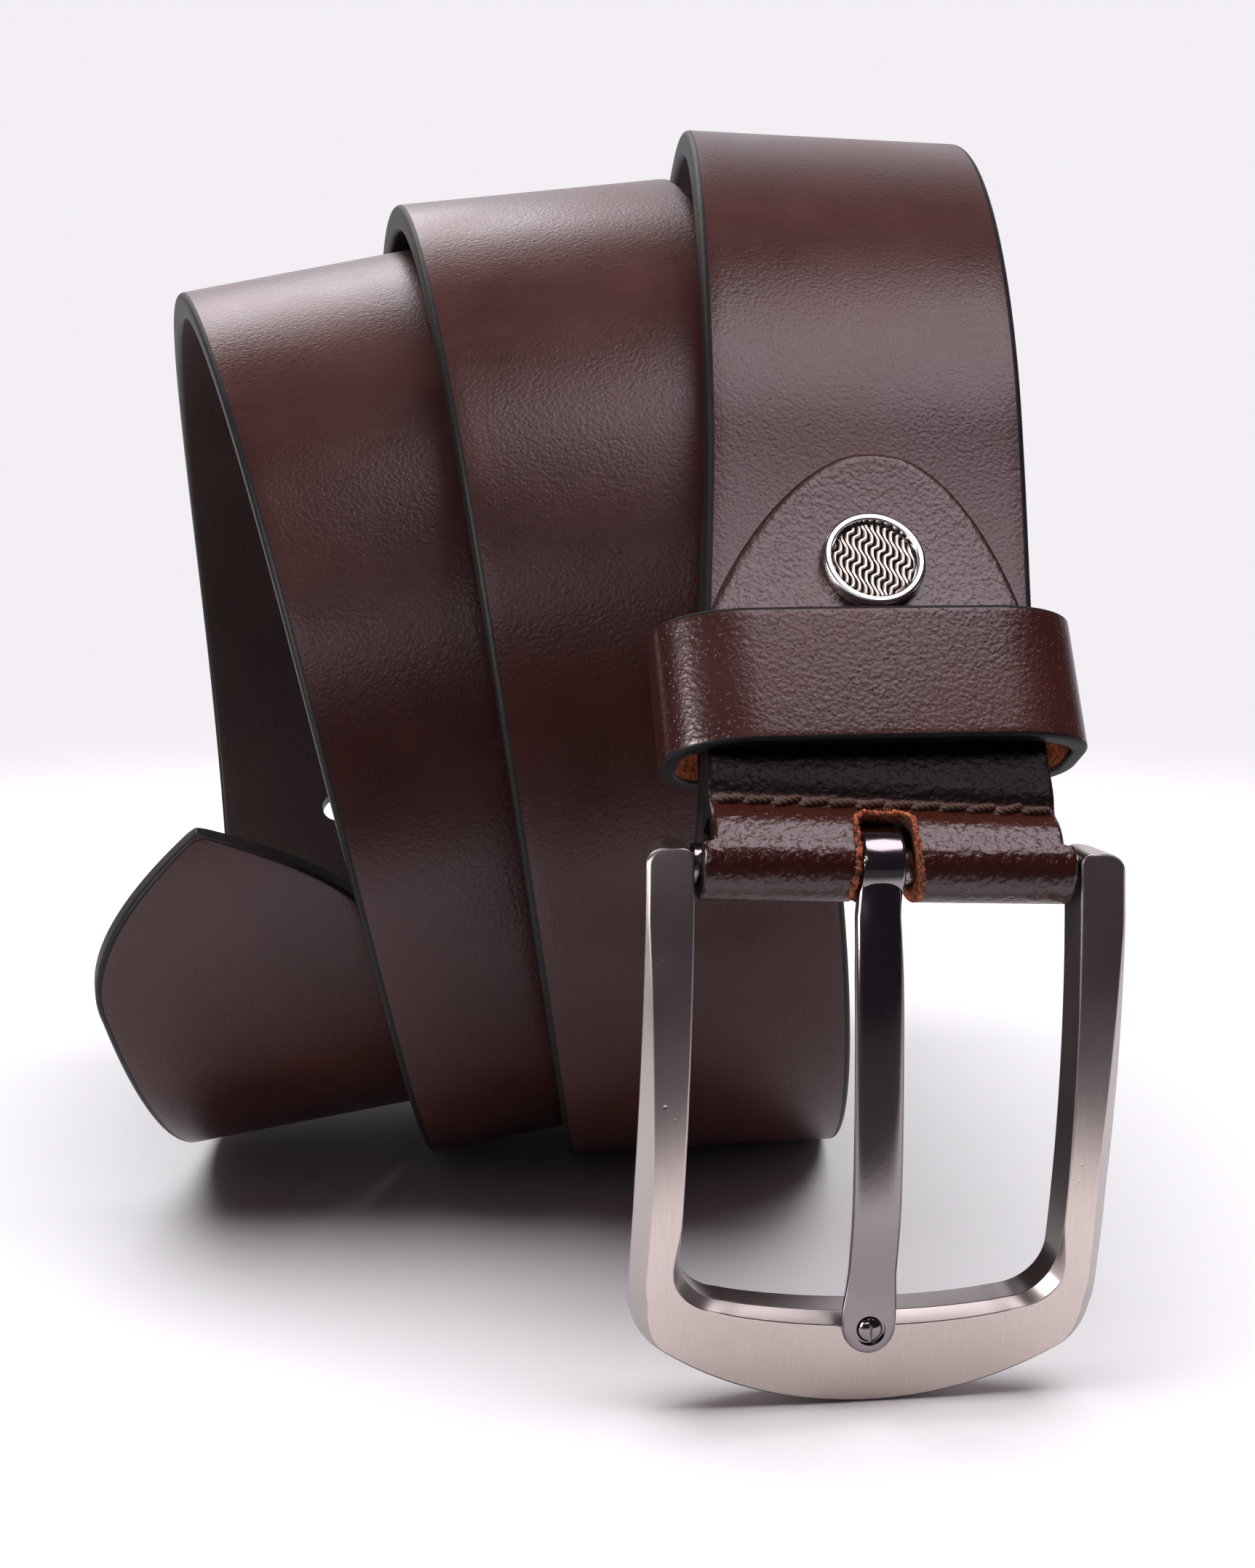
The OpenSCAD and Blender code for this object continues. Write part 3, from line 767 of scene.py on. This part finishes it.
# ---------------------------------------------------------------- keeper
def build_keeper():
    """A rounded band bent round a rounded rectangle."""
    section = np.array(band_section(22, 2))
    half_x, half_y = (KEEPER_IN[0] + KEEPER_T) / 2, (KEEPER_IN[1] + KEEPER_T) / 2
    outline = []
    for start, sx, sy, rx, ry in ((0, 1, 1, 9.5, 5.2), (90, -1, 1, 9.5, 5.2),
                                  (180, -1, -1, 4.6, 4.6), (270, 1, -1, 4.6, 4.6)):
        cx, cy = sx * (half_x - rx), sy * (half_y - ry)
        outline += [(cx + rx * cos(start + a), cy + ry * sin(start + a)) for a in range(0, 91, 6)]
        if start in (0, 180):
            far = -sx * (half_x - rx)
            outline += [(mix(cx, far, k / 30), sy * half_y) for k in range(1, 30)]
    path = []
    for j, (x, y) in enumerate(outline):
        before, after = outline[j - 1], outline[(j + 1) % len(outline)]
        path.append((x, y, math.degrees(math.atan2(before[0] - after[0], after[1] - before[1]))))
    verts, faces, parts = [], [], []
    k = len(section)
    for x, y, a in path:
        crown = 0.25 * (1 - min(1, abs(x) / half_x) ** 2) if y > 0 else 0.0
        u = section[:, 0] * (KEEPER_W / 2 - 0.5) + section[:, 2] * 0.5
        o = section[:, 1] * (KEEPER_T / 2 - 0.5) + section[:, 3] * 0.5
        px = x + o * cos(a)
        py = y + crown + o * sin(a)
        verts += [KEEPER_MATRIX @ Vector((px[i], u[i], py[i])) for i in range(k)]
    for j in range(len(path)):
        a, b = j * k, ((j + 1) % len(path)) * k
        for i in range(k):
            h = (i + 1) % k
            faces.append((a + i, a + h, b + h, b + i))
            parts.append(int(section[i, 4]) if section[i, 4] == section[h, 4] else 1)
    obj = make_object("keeper_leather", verts, faces, materials=[LOOP.material, EDGE.material, RAW.material],
                      indices=parts)
    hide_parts("keeper")
    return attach(obj, "keeper_loop")


# ---------------------------------------------------------------- rivet
RIVET_LOW = tab_in(RIVET_AT) + tab_thick(RIVET_AT) + 0.15
CAP_H, RIM_W = 1.7, 1.05


def build_rivet():
    r = RIVET_D / 2
    z = RIVET_LOW
    profile = ([(1.6, z), (r - 0.5, z)] + arc(r - 0.35, z + 0.35, 0.35, -70, 0, 4)
               + arc(r - 0.5, z + CAP_H - 0.5, 0.5, 0, 90, 8)
               + arc(r - RIM_W + 0.25, z + CAP_H - 0.25, 0.25, 90, 180, 6)
               + [(r - RIM_W, z + 0.62), (1.6, z + 0.62)])
    v, f = lathe(profile, 96, RIVET_MATRIX)
    cap = make_object("rivet_ring", v, f, materials=[NICKEL.material], sharp=55)
    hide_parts("rivet_cap")
    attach(cap, "belt")

    top, rings, spokes = z + 0.66, 70, 300
    radius = r - RIM_W - 0.06
    verts, faces, ridge = [(0, 0, top)], [], [0.5]

    def height(x, y):
        rows = (x * 0.5 + y * 0.87) / 3.3
        zig = 0.42 * math.sin(2 * math.pi * rows) + 0.05 * math.sin(6 * math.pi * rows)
        wave = math.sin(2 * math.pi * (x + zig) / 0.76)
        return share(0.68 + 0.85 * wave)

    for i in range(1, rings + 1):
        q = radius * i / rings
        for j in range(spokes):
            a = 2 * math.pi * j / spokes
            x, y = q * math.cos(a), q * math.sin(a)
            h = height(x, y)
            h *= share((radius - q) / 0.35)
            verts.append((x, y, top + 0.38 * h))
            ridge.append(h)
    verts += [(radius * math.cos(a), radius * math.sin(a), z + 0.62)
              for a in (2 * math.pi * j / spokes for j in range(spokes))]
    ridge += [0.0] * spokes
    faces += [(0, 1 + j, 1 + (j + 1) % spokes) for j in range(spokes)]
    for i in range(rings):
        a, b = 1 + i * spokes, 1 + (i + 1) * spokes
        faces += [(a + j, b + j, b + (j + 1) % spokes, a + (j + 1) % spokes) for j in range(spokes)]
    faces.append(tuple(1 + rings * spokes + spokes - 1 - j for j in range(spokes)))
    disc = make_object("rivet_ridged_insert", [RIVET_MATRIX @ Vector(p) for p in verts], faces,
                       materials=[INSERT.material])
    float_attribute(disc, "ridge", ridge)
    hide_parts("rivet_insert")
    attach(disc, "belt")


# ---------------------------------------------------------------- buckle
BOW_R, BOW_MID = 119.0, -29.0
BOW_BACK = BOW_R - LEG_D / 2 - 3.3
ARC_R, CORNER_R, LEG_TOP = 41.5, 8.0, 2.0
WINDOW_R, SILL_R = 6.0, 95.0
OUT_HALF = WINDOW_W / 2 + LEG_W


def bow(z, r):
    return BOW_BACK - math.sqrt(r * r - (z - BOW_MID) ** 2)


def frame_outlines():
    """Matching points on the outer and inner outlines, from the left leg's top round to the right leg's."""
    left = []
    corner_z = -DROP + ARC_R - math.sqrt((ARC_R - CORNER_R) ** 2 - (OUT_HALF - CORNER_R) ** 2)
    low = -DROP + BOTTOM_H
    inner_z = low + WINDOW_R + 1.5
    for k in range(9):
        a = 90 * k / 8
        x = -OUT_HALF + 2.2 * (1 - sin(a))
        left.append(((x, LEG_TOP - 2.2 * (1 - cos(a)) * 0.8), (-WINDOW_W / 2 - 1.2 * (1 - sin(a)),
                                                               LEG_TOP - 1.2 * (1 - cos(a)))))
    for k in range(1, 37):
        t = k / 36
        left.append(((-OUT_HALF, mix(0.24, corner_z, t)), (-WINDOW_W / 2, mix(0.8, inner_z, t))))
    tangent = math.degrees(math.atan2(corner_z - (-DROP + ARC_R), -(OUT_HALF - CORNER_R)))
    outer = arc(-OUT_HALF + CORNER_R, corner_z, CORNER_R, 180, 360 + tangent, 14)
    sill_z = low + SILL_R
    start_x = -(WINDOW_W / 2 - WINDOW_R)
    corner_end = 262.0
    inner = arc(-WINDOW_W / 2 + WINDOW_R, inner_z, WINDOW_R, 180, corner_end, 14)
    left += list(zip(outer[1:], inner[1:]))
    ox, oz = outer[-1]
    ix, iz = inner[-1]
    a0 = math.degrees(math.atan2(oz - (-DROP + ARC_R), ox)) % 360
    for k in range(1, 31):
        t = k / 30
        a = mix(a0, 270, t)
        o = (ARC_R * cos(a), -DROP + ARC_R + ARC_R * sin(a))
        x = mix(ix, 0, t)
        arc_z = sill_z - math.sqrt(SILL_R**2 - x * x)
        blend = max(0.0, 1 - t * 6)
        left.append((o, (x, mix(arc_z, iz + (x - ix) * -0.12, blend**2))))
    right = [((-o[0], o[1]), (-i[0], i[1])) for o, i in reversed(left[:-1])]
    return left + right


def build_frame():
    """The bowed frame: a section of facets swept along the legs and the bottom bar."""
    pairs = frame_outlines()
    verts, faces, parts = [], [], []
    eps = 0.16
    for (ox, oz), (ix, iz) in pairs:
        e = unit(np.array([ix - ox, iz - oz]))
        width = math.hypot(ix - ox, iz - oz)
        low_share = share((-oz - 6) / 30)
        end_share = share((DROP - 7.5 + oz) / 4.5)
        facet = mix(0.45, 2.3, low_share) * end_share + 0.3 * (1 - end_share)
        facet_d = mix(0.45, 2.4, low_share) * end_share + 0.3 * (1 - end_share)
        sill = share((-iz - 40.5) / 6)
        chamfer = mix(0.22, 1.45, sill)
        draft = 0.9

        def at(s, depth, from_back=False):
            x, z = ox + e[0] * s, oz + e[1] * s
            y = bow(z, BOW_R - LEG_D) - depth if from_back else bow(z, BOW_R) + depth
            return (x, y, z)

        ring = [
            at(facet + eps, 0), at(width - chamfer - eps, 0),
            at(width - chamfer, 0.03), at(width - chamfer + eps * 0.8, eps * 0.7),
            at(width - eps * 0.6, chamfer - eps * 0.5), at(width, chamfer + eps),
            at(width, 0.5, True), at(width - 0.15, 0.15, True), at(width - 0.5, 0, True),
            at(draft + 0.7, 0, True), at(draft + 0.2, 0.2, True), at(draft, 0.7, True),
            at(0.02, facet_d + eps), at(eps * 0.4, facet_d - eps * 0.4),
            at(facet - eps * 0.7, eps * 0.7), at(facet, 0.03),
        ]
        verts += [BAR_MATRIX @ Vector(p) for p in ring]
    k = len(ring)
    for j in range(len(pairs) - 1):
        a, b = j * k, (j + 1) * k
        for i in range(k):
            h = (i + 1) % k
            faces.append((a + i, b + i, b + h, a + h))
            parts.append(1 if i in (2, 3, 4, 5) or i in (12, 13, 14) else 0)
    faces.append(tuple(range(k)))
    faces.append(tuple((len(pairs) - 1) * k + k - 1 - i for i in range(k)))
    parts += [0, 0]
    obj = make_object("buckle_frame_metal", verts, faces, indices=parts,
                      materials=[FRAME_METAL.material, BEVEL_METAL.material])
    notch = [(-3.35, -4.0), (3.35, -4.0), (3.35, 3.1), (-3.35, 3.1)]
    sill_low = -DROP + BOTTOM_H
    verts = [BAR_MATRIX @ Vector((x, y, sill_low + z - 0.9)) for y in (-14, -3.72) for x, z in notch]
    cutter = make_object("notch_cutter", verts, BOX_FACES, materials=[BEVEL_METAL.material])
    cut(obj, cutter)
    mark_sharp(obj.data, 28)
    m = obj.modifiers.new("even", "WEIGHTED_NORMAL")
    m.keep_sharp = True
    apply_modifiers(obj)
    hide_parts("buckle_frame")
    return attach(obj, "buckle")


# ---------------------------------------------------------------- prong
SHANK = [(-3.0, -0.6), (-3.3, -2.6), (-4.7, -8), (-6, -16), (-6.9, -26), (-7.2, -34), (-7, -39), (-6.3, -43),
         (-5.5, -47), (-5.2, -50), (-5.2, -55.4)]
SCREW_Z = -52.5
PRONG_TOP_HALF, PRONG_HALF, PRONG_END_HALF = 2.55, 2.8, 3.1
PRONG_SIDE, PRONG_LOOP_SIDE = -1.4, -0.95
LOOP_HALF, LOOP_IN_R, LOOP_OUT_R, LOOP_ROUND = 2.55, 2.3, 4.3, 0.55
SEAT_R, SCREW_R = 1.8, 1.5


def build_prong():
    line = smooth_curve(SHANK, 6)
    end_r = PRONG_END_HALF
    tip_z = SHANK[-1][1] + end_r
    line = np.array([p for p in line if p[1] > tip_z + 0.1]
                    + [(SHANK[-1][0], tip_z - end_r * sin(a)) for a in range(0, 91, 6)])
    sides = 28
    verts = []
    end = line[-1][1]
    for y, z in line:
        t = share((z + 48) / 43)
        centre = mix(0.0, PRONG_SIDE, t) if z < -5 else mix(PRONG_SIDE, -1.0, (z + 5) / 5)
        half = mix(PRONG_TOP_HALF, PRONG_HALF, share((-z - 1.5) / 10))
        if z < -46:
            half = mix(PRONG_HALF, PRONG_END_HALF, min(1.0, (-z - 46) / 4))
        tip = z - end
        if tip < half:
            half = math.sqrt(max(0.03, half**2 - (half - tip) ** 2))
        thick = math.sqrt(1 - (1 - min(1, tip / 0.9)) ** 2 * 0.8)
        for k in range(sides):
            a = 2 * math.pi * k / sides
            c, s = math.cos(a), math.sin(a)
            x = centre + half * math.copysign(abs(c) ** 0.72, c)
            d = thick * math.copysign(abs(s) ** 0.8, s)
            d = d * 1.06 if d < 0 else d * 0.9
            verts.append(BAR_MATRIX @ Vector((x, y + d, z)))
    obj = make_object("prong_metal", verts, ring_faces(len(line), sides), materials=[DARK_NICKEL.material])
    steps = 48
    ring_v = []
    for y in (-9.0, -5.75):
        ring_v += [BAR_MATRIX @ Vector((SEAT_R * cos(a), y, SCREW_Z + SEAT_R * sin(a)))
                   for a in (360 * k / steps for k in range(steps))]
    ring_f = [tuple(range(steps)), tuple(2 * steps - 1 - k for k in range(steps))]
    ring_f += [(k, steps + k, steps + (k + 1) % steps, (k + 1) % steps) for k in range(steps)]
    cut(obj, make_object("seat_cutter", ring_v, ring_f, materials=[DARK_NICKEL.material]))
    corner_r = LOOP_OUT_R - LOOP_ROUND
    corner_x = LOOP_HALF - LOOP_ROUND
    profile = ([(LOOP_IN_R, -LOOP_HALF + 0.2), (LOOP_IN_R, LOOP_HALF - 0.2)]
               + arc(corner_r, corner_x, LOOP_ROUND, 90, 0, 5)
               + arc(corner_r, -corner_x, LOOP_ROUND, 0, -90, 5))
    turn = BAR_MATRIX @ Matrix.Translation((PRONG_LOOP_SIDE, 0, 0))
    turn = turn @ Matrix.Rotation(math.radians(90), 4, "Y")
    v, f = lathe(profile, 64, turn)
    add_mesh(obj, v, [tuple(reversed(face)) for face in f])
    mark_sharp(obj.data, 50)
    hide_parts("prong")
    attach(obj, "buckle_prong")

    r = SCREW_R
    dome = [(0.001, 0.62), (0.4, 0.6), (0.8, 0.5), (1.15, 0.32), (1.38, 0.1), (r, -0.15), (r, -1.0),
            (0.001, -1.0)]
    turn = BAR_MATRIX @ Matrix.Translation((0, -5.95, SCREW_Z)) @ Matrix.Rotation(math.radians(90), 4, "X")
    v, f = lathe(dome, 48, turn)
    screw = make_object("screw_head", v, f, materials=[DARK_NICKEL.material], sharp=50)
    box = [turn @ Vector((x, y, z)) for z in (0.12, 1.5) for x, y in
           ((-0.17, -2), (0.17, -2), (0.17, 2), (-0.17, 2))]
    cut(screw, make_object("slot_box", box, BOX_FACES, materials=[DARK_NICKEL.material]))
    mark_sharp(screw.data, 50)
    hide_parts("prong_screw")
    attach(screw, "buckle_prong")


build_strap()
build_tab()
build_slot_fibres()
build_seam()
build_keeper()
build_rivet()
build_frame()
build_prong()

for node_name, shader in (("rivet_post", NICKEL), ("rivet_back_plate", NICKEL), ("keeper_staples", NICKEL),
                          ("hinge_bar", DARK_NICKEL)):
    node_mesh = NODES[node_name].data
    if not node_mesh.materials:
        node_mesh.materials.append(shader.material)
    for place_number in range(len(node_mesh.materials)):
        node_mesh.materials[place_number] = shader.material


# ---------------------------------------------------------------- stage, lights, camera
TABLE_END = 0.33
TABLE_FRONT = -0.13
BACK_COLOUR = (0.895, 0.862, 0.912)


def build_stage():
    """A white table whose soft far edge runs into an evenly lit backdrop.

    Only the camera sees it white all over: reflections see a dark table in front of TABLE_FRONT."""
    size = 6.0
    floor = make_object("floor", [(-size, -size, 0), (size, -size, 0), (size, size, 0), (-size, size, 0)],
                        [(0, 1, 2, 3)])
    s = Shader("pale_floor", (0.86, 0.855, 0.88), 0.6)
    split = s.node("ShaderNodeSeparateXYZ", {"Vector": s.place()})
    x, y = split.outputs["X"], split.outputs["Y"]
    reach = s.math("SQRT", s.math("ADD", s.math("MULTIPLY", x, x), s.math("MULTIPLY", y, y)))
    seen = s.node("ShaderNodeLightPath").outputs["Is Camera Ray"]

    def soft(value, low, high):
        return s.node("ShaderNodeMapRange", {"Value": value, "From Min": low, "From Max": high},
                      interpolation_type="SMOOTHSTEP").outputs[0]

    far = soft(y, TABLE_END - 0.09, TABLE_END + 0.16)
    far_seen = soft(reach, TABLE_END - 0.09, TABLE_END + 0.16)
    far = s.math("ADD", far, s.math("MULTIPLY", seen, s.math("SUBTRACT", far_seen, far)))
    near = s.math("MAXIMUM", soft(y, TABLE_FRONT - 0.08, TABLE_FRONT), seen)
    white = s.mix(near, (0.085, 0.08, 0.09), (0.90, 0.89, 0.91))
    s.set("Base Color", s.mix(far, white, (0.0, 0.0, 0.0)))
    s.set("Emission Color", (*BACK_COLOUR, 1))
    s.set("Emission Strength", far)
    s.bsdf.inputs["Specular IOR Level"].default_value = 0.0
    floor.data.materials.append(s.material)


def build_world():
    """A white wall behind the belt and a dim room behind the camera.

    The camera itself sees the wall's white all round: only light and reflections meet the dim room."""
    world = bpy.data.worlds.new("studio")
    bpy.context.scene.world = world
    world.use_nodes = True
    tree = world.node_tree
    back = tree.nodes["Background"]
    coords = tree.nodes.new("ShaderNodeTexCoord")
    split = tree.nodes.new("ShaderNodeSeparateXYZ")
    tree.links.new(coords.outputs["Generated"], split.inputs[0])
    ramp = tree.nodes.new("ShaderNodeMapRange")
    ramp.interpolation_type = "SMOOTHSTEP"
    ramp.inputs["From Min"].default_value = 0.4
    ramp.inputs["From Max"].default_value = 0.95
    tree.links.new(split.outputs["Y"], ramp.inputs["Value"])
    colour = tree.nodes.new("ShaderNodeMix")
    colour.data_type = "RGBA"
    colour.inputs[6].default_value = (0.037, 0.028, 0.043, 1)
    colour.inputs[7].default_value = (*BACK_COLOUR, 1)
    tree.links.new(ramp.outputs[0], colour.inputs["Factor"])
    seen = tree.nodes.new("ShaderNodeLightPath")
    final = tree.nodes.new("ShaderNodeMix")
    final.data_type = "RGBA"
    tree.links.new(seen.outputs["Is Camera Ray"], final.inputs["Factor"])
    tree.links.new(colour.outputs[2], final.inputs[6])
    final.inputs[7].default_value = (*BACK_COLOUR, 1)
    tree.links.new(final.outputs[2], back.inputs["Color"])
    back.inputs["Strength"].default_value = 1.0


def area(name, place, target, size, power, colour=(1, 1, 1)):
    data = bpy.data.lights.new(name, "AREA")
    data.shape = "RECTANGLE"
    data.size, data.size_y = size
    data.energy = power
    data.color = colour
    obj = bpy.data.objects.new(name, data)
    bpy.context.scene.collection.objects.link(obj)
    obj.location = place
    obj.rotation_euler = (Vector(target) - Vector(place)).to_track_quat("-Z", "Y").to_euler()
    return obj


build_stage()
build_world()
fill = area("fill_top", (0.0, -0.02, 1.1), (0, 0, 0), (1.5, 1.2), 24, (1, 0.985, 1))
fill.visible_glossy = False
for gloss in (area("overhead", (0.36, -0.30, 1.0), (0, -0.05, 0.05), (0.6, 0.5), 4.2, (1, 0.95, 1)),
              area("back_top", (-0.35, 0.6, 0.75), (0, 0, 0.05), (0.7, 0.4), 3.2, (1, 0.95, 0.97)),
              area("left_soft", (-0.72, -0.62, 0.40), (0.03, -0.1, 0.08), (0.28, 0.5), 9, (1, 0.96, 0.97)),
              area("front_high", (-0.1, -1.0, 0.62), (0.02, -0.09, 0.05), (0.6, 0.15), 0.9, (1, 0.98, 1))):
    gloss.visible_diffuse = False

PHOTO_WIDTH = 1725
FOCAL_LENGTH = 3300
SENSOR_WIDTH = 36.0
CAMERA_PLACE = Vector((0, -365.7, 117))
CAMERA_DOWN = 9.6

camera_data = bpy.data.cameras.new("camera")
camera_data.sensor_fit = "HORIZONTAL"
camera_data.sensor_width = SENSOR_WIDTH
camera_data.lens = SENSOR_WIDTH * FOCAL_LENGTH / PHOTO_WIDTH
camera_data.clip_start = 0.01
camera_data.clip_end = 50
camera = bpy.data.objects.new("camera", camera_data)
bpy.context.scene.collection.objects.link(camera)
camera.location = (CAMERA_PLACE + Vector(PLACE)) * MM
camera.rotation_euler = (math.radians(90 - CAMERA_DOWN), 0, 0)
bpy.context.scene.camera = camera
bpy.context.scene.view_settings.view_transform = "Standard"
